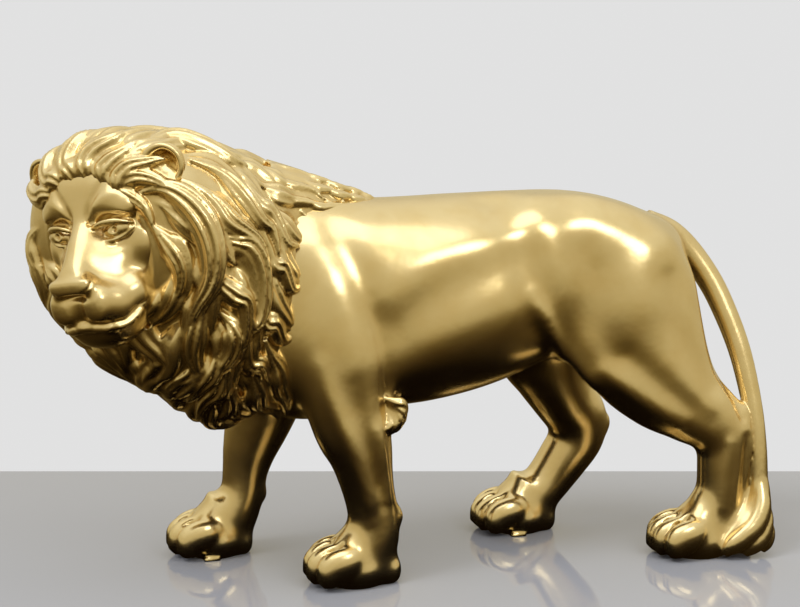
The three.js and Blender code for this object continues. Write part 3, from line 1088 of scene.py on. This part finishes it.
    def filler(self, clay: Clay) -> None:
        """Covers the mane with combed locks that lie beside each other, no two alike.

        Args:
            clay: Where they go.
        """
        rng = np.random.default_rng(self.seed)
        heroes = self.heroes()
        for k, row in enumerate(np.arange(0.95, -0.04, -self.t_step)):
            for angle in np.arange(0, 360, self.angle_step) + (k % 2) * self.angle_step / 2:
                if self.bare(row, angle):
                    continue
                t = row + rng.uniform(-0.015, 0.015)
                a = angle + rng.uniform(-3, 3)
                length = self.long * self.unit_t * rng.uniform(0.8, 1.15)
                wide, tip = rng.uniform(36, 48), rng.uniform(6, 16)
                # Flatter on the far cheek, at the shoulders and on top, broad and long on the chest.
                if 175 < angle < 290 and row < 0.4:
                    tip -= 12
                tip -= 14 * float(smooth(0.6, 0.9, row))
                if 50 < angle < 130 and 0.1 < row < 0.6:
                    tip -= 9
                if 215 < angle % 360 < 325:
                    wide, tip, length = wide * 1.5, tip - 6, length * 1.15
                line = [(t, a)]
                for _ in range(8):
                    dt, da = self.comb(t, a, heroes)
                    t += dt * length / 8 / self.unit_t
                    a += da * length / 8 / self.unit_angle
                    line.append((t, a))
                if max(t for t, _ in line) > 1.1:
                    continue
                strands = int(rng.integers(2, 4))
                shape = LockShape(wide, wide * 0.62, strands, 0.32, lean=rng.uniform(-12, 12))
                self.hair(clay, line, shape, -10, tip)

    def crest(self, clay: Clay) -> None:
        """Adds the hair that runs back over the withers.

        Args:
            clay: Where it goes.
        """
        clay.limb(CREST, 28)
        rng = np.random.default_rng(self.seed + 1)
        places = [(k, side, rank) for k in range(5) for side in (-1, 1) for rank in range(4)]
        for k, side, rank in places:
            if side == 1 and rank == 0:
                continue
            u = np.clip(np.linspace(0.02 + 0.16 * k, 0.34 + 0.17 * k, 6), 0, 1)
            x, middle, z, high, wide = spline(np.array(CREST, float), u).T
            start = 6 + 24 * rank + rng.uniform(-4, 4)
            angle = np.radians(start + np.linspace(0, 24, 6) + 6 * np.sin(np.linspace(0, 6, 6)))
            y = side * np.sin(angle)
            pts = np.stack([x + 14, middle + wide * y, z + high * np.cos(angle) - 3], axis=1)
            up = unit(np.stack([0.12 + 0 * y, y, np.cos(angle)], axis=1))
            clay.lock(pts, up, self.crest_lock)

    def make(self, shop: Workshop) -> bpy.types.Object:
        """Builds the mane.

        Args:
            shop: The workshop.

        Returns:
            The finished piece.
        """
        clay = Clay()
        t = np.linspace(0, 1, 40)
        turn = np.linspace(0, 360, 73)[:-1]
        clay.rings(np.stack([self.point(np.full(72, x), turn, np.zeros(72)) for x in t]))
        self.crest(clay)
        self.filler(clay)
        for line, wide, high, root, tip in HERO_LOCKS:
            self.hair(clay, line, replace(self.hero_lock, wide=wide, high=high), root, tip)
        piece = shop.fuse(self.name, clay, self.fine)
        work = Sculpt(piece, shop.origin)
        work.relax(4)
        work.put()
        shop.thin(piece, self.triangles)
        return piece


# ---- head ----

# Lumps of the face: (middle, half sizes, whether there is one on each side, squareness)
FACE_LUMPS: list[tuple[Triple, Triple, bool, float]] = [
    ((-6, 0, 60), (112, 156, 128), False, 1.0),
    ((26, 0, -30), (96, 140, 134), False, 1.0),
    ((218, 0, -61), (30, 60, 23), False, 0.6),
    ((176, 0, -112), (42, 26, 42), False, 0.8),
    ((178, 46, -117), (54, 44, 53), True, 0.8),
    ((142, 76, -129), (50, 36, 50), True, 0.85),
    ((94, 98, -117), (48, 36, 51), True, 1.0),
    ((40, 92, -60), (46, 38, 52), True, 1.0),
    ((30, 112, -4), (60, 48, 74), True, 1.0),
    ((66, 86, 90), (42, 58, 30), True, 1.0),
    ((60, 92, -128), (58, 40, 56), True, 1.0),
    ((108, 0, -222), (46, 50, 34), False, 0.8),
]
# Stations of the face: (front, left, top, half depth, half width)
MUZZLE: Table = [
    (18, 0, 70, 74, 60), (45, 0, 39, 76, 80), (72, 0, 9, 76, 94), (98, 0, -21, 76, 98),
    (124, 0, -51, 76, 92), (144, 0, -74, 76, 84), (162, 0, -94, 72, 76), (174, 0, -108, 60, 68),
]
MUZZLE_CUT: Table = [(1, 0.26), (0, 1), (-0.9, 0.9)]
JAW: Table = [
    (0, 0, -165, 56, 104), (70, 0, -190, 58, 92), (120, 0, -202, 50, 80), (150, 0, -198, 40, 72),
    (176, 0, -186, 26, 62), (194, 0, -176, 12, 48),
]
FOREHEAD: Table = [
    (26, 0, 40, 76, 104), (28, 0, 86, 84, 122), (28, 0, 114, 84, 122), (20, 0, 138, 80, 112),
    (-12, 0, 160, 60, 86),
]
BRIDGE: Table = [
    (96, 0, 104, 24, 18), (112, 0, 66, 24, 22), (154, 0, 18, 26, 26), (192, 0, -26, 26, 30),
    (214, 0, -52, 24, 36),
]
BROW: Table = [
    (108, 18, 80, 9, 8), (113, 36, 97, 12, 11), (106, 66, 108, 12, 11), (88, 104, 117, 12, 11),
    (58, 140, 116, 8, 8),
]
UPPER_LID: Table = [
    (110, 20, 46, 4, 4), (118, 38, 59, 8, 7), (118, 64, 66, 10, 8), (104, 98, 65, 8, 7), (76, 130, 48, 4, 4),
]
LOWER_LID: Table = [
    (110, 20, 44, 4, 4), (114, 38, 27, 5, 5), (112, 62, 18, 6, 5), (102, 94, 22, 5, 5), (76, 130, 44, 4, 4),
]
LOWER_LIP: Table = [
    (204, 0, -170, 15, 14), (198, 32, -175, 15, 14), (182, 62, -182, 14, 13), (154, 86, -182, 13, 12),
    (120, 104, -168, 10, 9), (94, 110, -152, 5, 5),
]
MOUTH: Table = [
    (226, 0, -158), (218, 36, -164), (200, 70, -172), (166, 96, -171), (124, 114, -154), (100, 122, -140),
]
IRIS: Table = [(112, 84 + 16 * math.cos(a), 44 + 14 * math.sin(a)) for a in np.linspace(0, 2 * np.pi, 9)]
# Lines cut (-) or raised (+): (front, left, top) points, half width and height, of the mouth,
# philtrum, nose, eyelid crease, under-eye, eye corner, brow valley, brow, cheek and iris.
FACE_LINES: list[tuple[Table, float, float]] = [
    (MOUTH, 5, -8),
    ([(240, 1, -96), (236, 1, -124), (226, 1, -158)], 7, -12),
    ([(240, 40, -74), (228, 56, -64), (212, 63, -50), (202, 60, -38)], 4, -6),
    ([(114, 16, 52), (122, 36, 74), (120, 66, 82), (106, 100, 80), (78, 132, 60)], 7, -7),
    ([(114, 34, 12), (110, 62, 0), (100, 96, 4)], 12, -3),
    ([(84, 120, 50), (66, 142, 38), (48, 154, 24)], 6, -6),
    ([(120, 20, 76), (118, 32, 106), (104, 56, 142), (80, 78, 170)], 11, -6),
    ([(118, 48, 116), (112, 76, 130), (96, 108, 138)], 14, 4),
    ([(50, 152, 40), (40, 152, -10), (36, 146, -60)], 7, 6),
    (IRIS, 3.4, 4),
]
# Where the face is not plain skin: (middle, reach) at the eye, the ear and the corner of the mouth
BUSY_SPOTS: list[tuple[Triple, Triple]] = [
    ((100, 82, 50), (60, 74, 46)),
    ((-10, 180, 170), (60, 80, 80)),
    ((190, 40, -176), (34, 34, 22)),
    ((160, 86, -178), (34, 34, 22)),
    ((118, 106, -164), (34, 34, 22)),
]


@dataclass
class Head:
    """The face and ears."""

    name: str = "lion_head"
    at: Triple = (-1095, -146, 949)
    turn: float = 54
    nod: float = 9
    tilt: float = 9
    rough: float = 5.0
    fine: float = 2.3
    triangles: int = 195_000
    ear_out: Pair = (204, 140)  # left, right
    ear_up: Pair = (168, 176)
    ear_size: Triple = (26, 46, 52)
    eye: Triple = (77, 82, 41)
    eye_size: Triple = (34, 42, 24)
    socket: Press = Press((110, 82, 48), (46, 46, 26), (-20, 0, 0))
    corner_passes: int = 26
    calm_passes: int = 150

    def place(self) -> Place:
        """The head's own frame."""
        return Place(np.array(self.at, float), facing(self.turn, self.nod, self.tilt))

    def clay(self) -> Clay:
        """Shapes the rough head.

        Returns:
            Its skins.
        """
        clay, here = Clay(), self.place()
        for (front, left, top), sizes, pair, square in FACE_LUMPS:
            for side in (1, -1) if pair else (1,):
                clay.ball((front, left * side, top), sizes, place=here, square=square)
        clay.limb(MUZZLE, 48, place=here, profile=MUZZLE_CUT)
        for table, square in ((JAW, 0.75), (FOREHEAD, 0.7), (BRIDGE, 0.5)):
            clay.limb(table, 32, place=here, square=square)
        for side in (1, -1):
            clay.limb(mirrored(BROW, side), place=here)
        return clay

    def features(self) -> Clay:
        """Shapes the eyes, lids, lips and ears, added once the face is smooth.

        Returns:
            Their skins.
        """
        clay, here = Clay(), self.place()
        front, left, top = self.eye
        for side, out, up in zip((1, -1), self.ear_out, self.ear_up):
            clay.ball((front, left * side, top), self.eye_size, (10 * side, 0, 16 * side), here)
            for table in (UPPER_LID, LOWER_LID, LOWER_LIP):
                clay.limb(mirrored(table, side), 12, place=here)
            clay.ball((-14, out * side, up), self.ear_size, (0, 0, 24 * side), here)
            rim = [
                (14 - 14 * math.cos(a), (out + 44 * math.cos(a)) * side, up + 50 * math.sin(a), 12, 12)
                for a in np.radians([-70, -20, 30, 80, 130, 175, 215])
            ]
            clay.limb(rim, 12, place=here)
        return clay

    def details(self) -> list[Press]:
        """Lists the small cuts.

        Returns:
            Presses for the eyes, the nostrils and the two ears.
        """
        return [
            Press((112, 84, 44), (14, 7, 7), (-9, 0, 0)),
            Press((240, 6, -92), (20, 26, 9), (-28, 0, 4), False),
            Press((22, self.ear_out[0] + 2, self.ear_up[0]), (40, 28, 34), (-40, 0, 0), False),
            Press((22, -self.ear_out[1] - 2, self.ear_up[1]), (40, 28, 34), (-40, 0, 0), False),
        ]

    def calm(self, local: Array) -> Array:
        """Weighs the plain skin of the face, away from eyes, nose, lips and ears.

        Args:
            local: Points in the head's frame.

        Returns:
            One weight per point.
        """
        busy = smooth(204, 226, local[:, 0])
        for at, reach in BUSY_SPOTS:
            for side in (1, -1):
                busy = np.maximum(busy, 1 - smooth(0.55, 1.1, away(local, at, reach, side)))
        return 1 - busy

    def make(self, shop: Workshop) -> bpy.types.Object:
        """Builds the head.

        Args:
            shop: The workshop.

        Returns:
            The finished piece.
        """
        here = self.place()
        piece = shop.fuse(self.name, self.clay(), self.rough)
        work = Sculpt(piece, shop.origin)
        work.fill(self.corner_passes)
        ahead = here.into(work.points)[:, 0]
        work.soften(16, 1 - 0.85 * smooth(190, 220, ahead))
        work.presses([self.socket], here)
        work.relax(2)
        work.put()
        shop.add(piece, self.features(), self.fine)
        work = Sculpt(piece, shop.origin)
        work.fill(5)
        work.soften(self.calm_passes, self.calm(here.into(work.points)))
        work.relax(4)
        work.presses(self.details(), here)
        n, whole = work.normals(), np.ones(len(work.points))
        for line, wide, high in FACE_LINES:
            for side in (1, -1):
                pts = here.out(np.array(mirrored(line, side), float))
                work.stroke(pts, wide, high, n, False, whole)
        work.relax(4)
        work.put()
        shop.thin(piece, self.triangles)
        return piece


# ---- finishes ----


class Wiring:
    """The nodes of a material or a world, set and joined by short calls."""

    def __init__(self, tree: bpy.types.NodeTree) -> None:
        """Takes up the nodes of a tree."""
        self.tree = tree

    def found(self, name: str, **values: object) -> bpy.types.Node:
        """Sets up a node that is there already.

        Args:
            name: Its name.
            values: Its inputs, with _ for a space, or its own settings in small letters.

        Returns:
            The node.
        """
        node = self.tree.nodes[name]
        for key, value in values.items():
            if key.islower():
                setattr(node, key, value)
            else:
                node.inputs[key.replace("_", " ")].default_value = value
        return node

    def add(self, kind: str, **values: object) -> bpy.types.Node:
        """Adds a node and sets it up."""
        return self.found(self.tree.nodes.new("ShaderNode" + kind).name, **values)

    def join(self, source: bpy.types.Node, out: str, target: bpy.types.Node, into: str | int) -> None:
        """Joins an output to an input."""
        self.tree.links.new(source.outputs[out], target.inputs[into])

    def noise(self, scale: float, detail: float) -> bpy.types.Node:
        """Adds noise that keeps its place on a piece.

        Args:
            scale: How fine it is.
            detail: How many finer layers it has.

        Returns:
            The node.
        """
        made = self.add("TexNoise", Scale=scale, Detail=detail)
        self.join(self.add("TexCoord"), "Object", made, "Vector")
        return made

    def ramp(self, stops: Stops) -> bpy.types.Node:
        """Adds a colour ramp.

        Args:
            stops: Places from 0 to 1 and their colours, in order.

        Returns:
            The node.
        """
        made = self.add("ValToRGB")
        band = made.color_ramp.elements
        for end, (at, tone) in zip(band, (stops[0], stops[-1])):
            end.position, end.color = at, (*tone, 1)
        for at, tone in stops[1:-1]:
            band.new(at).color = (*tone, 1)
        return made


def material(name: str) -> bpy.types.Material:
    """Makes a new material with the usual nodes.

    Args:
        name: Its name.

    Returns:
        The material.
    """
    made = bpy.data.materials.new(name)
    made.use_nodes = True
    return made


@dataclass(frozen=True)
class Gilding:
    """Gold leaf colour under a clear gloss, with painted shade in the hollows, and paler or worn in patches.
    """

    bright: Triple = (0.86, 0.71, 0.40)
    worn: Triple = (0.78, 0.6, 0.28)
    # deep is painted shade: the darker gold laid into the hollows
    deep: Triple = (0.55, 0.36, 0.11)
    roughness: Pair = (0.2, 0.28)
    gloss: float = 0.6
    gloss_roughness: float = 0.04
    # Where the painted shade falls: low pointiness marks the hollows.
    shade_pointiness: Pair = (0.42, 0.52)  # pointiness from the hollows to the open skin
    clouds: Pair = (5.0, 3.0)  # scale and detail of the changes in roughness
    patches: Pair = (11.0, 4.0)  # of the worn patches
    grain: Pair = (26.0, 5.0)  # of the fine unevenness

    def material(self) -> bpy.types.Material:
        """Builds the material.

        Returns:
            The gilding.
        """
        made = material("gilding")
        wire = Wiring(made.node_tree)
        shader = wire.found("Principled BSDF", Metallic=1.0, Coat_Weight=self.gloss)
        shader.inputs["Coat Roughness"].default_value = self.gloss_roughness
        unshaded_skin = wire.add("MapRange", From_Min=self.shade_pointiness[0], From_Max=self.shade_pointiness[1])
        leaf = wire.add("MapRange", From_Min=0.42, From_Max=0.66, To_Max=0.5)
        rough = wire.add("MapRange", To_Min=self.roughness[0], To_Max=self.roughness[1])
        skin = wire.add("Mix", data_type="RGBA", A=(*self.bright, 1), B=(*self.worn, 1))
        mix = wire.add("Mix", data_type="RGBA", A=(*self.deep, 1))
        bump = wire.add("Bump", Strength=0.12, Distance=0.004)
        wire.join(wire.noise(*self.patches), "Fac", leaf, "Value")
        wire.join(leaf, "Result", skin, "Factor")
        wire.join(skin, "Result", mix, "B")
        # Painted shade: low pointiness in the hollows mixes in the deep colour.
        wire.join(wire.add("NewGeometry"), "Pointiness", unshaded_skin, "Value")
        wire.join(unshaded_skin, "Result", mix, "Factor")
        wire.join(mix, "Result", shader, "Base Color")
        wire.join(wire.noise(*self.grain), "Fac", bump, "Height")
        wire.join(bump, "Normal", shader, "Normal")
        wire.join(wire.noise(*self.clouds), "Fac", rough, "Value")
        wire.join(rough, "Result", shader, "Roughness")
        return made


# ---- the studio ----


@dataclass
class Studio:
    """Floor, backdrop, lights and camera."""

    eye: Triple = (-1.1531, -4.1980, 1.400)
    heading: float = -15.0
    pitch: float = -8.653
    lens: float = 72.0
    sensor: float = 36.0
    floor_far: float = 5.36  # from the eye to the far edge of the grey floor
    floor_size: Pair = (16, 9.0)
    floor_shift: float = 0.3  # to the right of the eye
    backdrop_size: Pair = (80, 80)
    backdrop_drop: float = 0.004  # under the grey floor
    grey: Triple = (0.485, 0.5, 0.55)
    pale: Triple = (0.755, 0.755, 0.755)
    # What the gold mirrors: painted shade on the floor under the lion, turning to a warm painted reflection
    # further off, and the sky from the side upwards
    painted_floor_shade: Stops = (
        (0.08, (0.004, 0.002, 0.0005)), (0.2, (0.07, 0.044, 0.012)),
        (0.45, (0.23, 0.175, 0.066)), (1.0, (0.52, 0.45, 0.26)),
    )
    mirrored_sky: Stops = (
        (0.0, (0.60, 0.53, 0.34)), (0.34, (0.66, 0.59, 0.40)),
        (0.8, (0.93, 0.89, 0.75)), (1.0, (1.0, 0.97, 0.86)),
    )

    def surface(self, name: str, colour: Triple, rough: float, pale: bool) -> bpy.types.Material:
        """A stage surface that the gold mirrors with painted shade near the lion and a warm painted
        reflection further off.

        Args:
            name: Its name.
            colour: Its colour to the eye.
            rough: Its roughness.
            pale: Whether it glows evenly to the eye, as a backdrop far off.

        Returns:
            The material.
        """
        made = material(name)
        wire = Wiring(made.node_tree)
        shader = wire.found("Principled BSDF", Base_Color=(*colour, 1), Roughness=rough)
        seen = (shader, "BSDF")
        if pale:
            seen = (wire.add("Emission", Color=(*colour, 1)), "Emission")
        wide = wire.add("Mapping", Scale=(0.5, 1, 1))
        far = wire.add("VectorMath", operation="LENGTH")
        reach = wire.add("MapRange", From_Min=0.0, From_Max=5.0)
        ramp = wire.ramp(self.painted_floor_shade)
        # Painted shade and reflection: to glossy rays the surface glows dark near the lion and warm further
        # off.
        dark, mix = wire.add("Emission"), wire.add("MixShader")
        wire.join(wire.add("TexCoord"), "Object", wide, "Vector")
        wire.join(wide, "Vector", far, 0)
        wire.join(far, "Value", reach, "Value")
        wire.join(reach, "Result", ramp, "Fac")
        wire.join(ramp, "Color", dark, "Color")
        wire.join(wire.add("LightPath"), "Is Glossy Ray", mix, "Fac")
        wire.join(*seen, mix, 1)
        wire.join(dark, "Emission", mix, 2)
        wire.join(mix, "Shader", wire.found("Material Output"), "Surface")
        return made

    def plane(self, name: str, middle: Triple, size: Pair, turn: float) -> bpy.types.Object:
        """Adds a flat stage surface.

        Args:
            name: Its name.
            middle: Its middle.
            size: Its sides.
            turn: Its turn about Z in radians.

        Returns:
            The object.
        """
        bpy.ops.object.select_all(action="DESELECT")
        bpy.ops.mesh.primitive_plane_add(size=1, location=middle, rotation=(0, 0, turn))
        made = bpy.context.object
        made.name, made.scale = name, (size[0], size[1], 1)
        bpy.ops.object.transform_apply(location=True, rotation=True, scale=True)
        return made

    def floor(self) -> None:
        """Lays the grey floor, which ends in a straight line behind the lion, on a pale one."""
        turn = math.radians(self.heading)
        ahead = Vector((-math.sin(turn), math.cos(turn), 0))
        right = Vector((math.cos(turn), math.sin(turn), 0))
        eye = Vector((self.eye[0], self.eye[1], 0))
        middle = eye + ahead * (self.floor_far - self.floor_size[1] / 2) + right * self.floor_shift
        grey = self.plane("floor", (middle.x, middle.y, 0), self.floor_size, turn)
        grey.data.materials.append(self.surface("floor_grey", self.grey, 0.05, False))
        pale = self.plane("backdrop", (0, 0, -self.backdrop_drop), self.backdrop_size, 0)
        pale.data.materials.append(self.surface("backdrop_pale", self.pale, 0.5, True))

    def world(self) -> None:
        """Pale all round to the eye, and brightest overhead to the gold."""
        world = bpy.data.worlds.new("studio")
        bpy.context.scene.world = world
        world.use_nodes = True
        wire = Wiring(world.node_tree)
        split, ray = wire.add("SeparateXYZ"), wire.add("LightPath")
        ramp = wire.ramp(self.mirrored_sky)
        soft = wire.add("Mix", data_type="RGBA", A=(*self.pale, 1), B=(0.58, 0.58, 0.59, 1))
        mix = wire.add("Mix", data_type="RGBA")
        wire.join(wire.add("TexCoord"), "Generated", split, "Vector")
        wire.join(split, "Z", ramp, "Fac")
        wire.join(ray, "Is Diffuse Ray", soft, "Factor")
        wire.join(soft, "Result", mix, "A")
        wire.join(ramp, "Color", mix, "B")
        wire.join(ray, "Is Glossy Ray", mix, "Factor")
        wire.join(mix, "Result", wire.found("Background"), "Color")

    def soft_box(self, name: str, at: Triple, to: Triple, size: Pair, power: float) -> None:
        """Hangs a soft box.

        Args:
            name: Its name.
            at: Its place.
            to: What it points at.
            size: Its sides.
            power: Its power in watts.
        """
        data = bpy.data.lights.new(name, "AREA")
        data.shape, data.size, data.size_y, data.energy = "ELLIPSE", *size, power
        lamp = stand(name, data)
        lamp.location = at
        lamp.rotation_euler = (Vector(to) - Vector(at)).to_track_quat("-Z", "Y").to_euler()

    def shade(self) -> None:
        """Adds a weak sun that gives the floor its shadow and leaves no glint on the gold."""
        data = bpy.data.lights.new("shade", "SUN")
        data.energy, data.angle = 0.7, math.radians(20)
        lamp = stand("shade", data)
        lamp.rotation_euler = Vector((0.75, 0.25, -0.9)).to_track_quat("-Z", "Y").to_euler()
        lamp.visible_glossy = False

    def camera(self) -> None:
        """Sets up the camera."""
        data = bpy.data.cameras.new("camera")
        data.lens, data.sensor_width = self.lens, self.sensor
        camera = stand("camera", data)
        camera.location = self.eye
        camera.rotation_euler = (math.radians(90 + self.pitch), 0, math.radians(self.heading))
        bpy.context.scene.camera = camera

    def make(self) -> None:
        """Sets up the whole studio."""
        self.camera()
        self.floor()
        self.world()
        self.soft_box("overhead", (-0.6, -1.4, 3.8), (-0.1, 0, 0.6), (3.6, 2.4), 26)
        self.soft_box("front", (1.6, -3.4, 3.2), (0.4, 0, 0.8), (2.2, 1.5), 25)
        self.shade()
        bpy.context.scene.view_settings.view_transform = "Standard"


# ---- the casting ----


def main() -> None:
    """Builds the lion in its studio."""
    logging.basicConfig(level=logging.INFO, format="%(name)s: %(message)s")
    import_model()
    low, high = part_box("lion")
    x, y = ((low[k] + high[k]) / 2 - DRAWN_MIDDLE[k] * MM for k in (0, 1))
    Studio().make()
    shop = Workshop(Vector((x, y, 0)))
    gold = Gilding().material()
    for part in (Body(), Mane(), Head()):
        piece = part.make(shop)
        shop.dress(piece, gold)


if __name__ == "__main__":
    main()
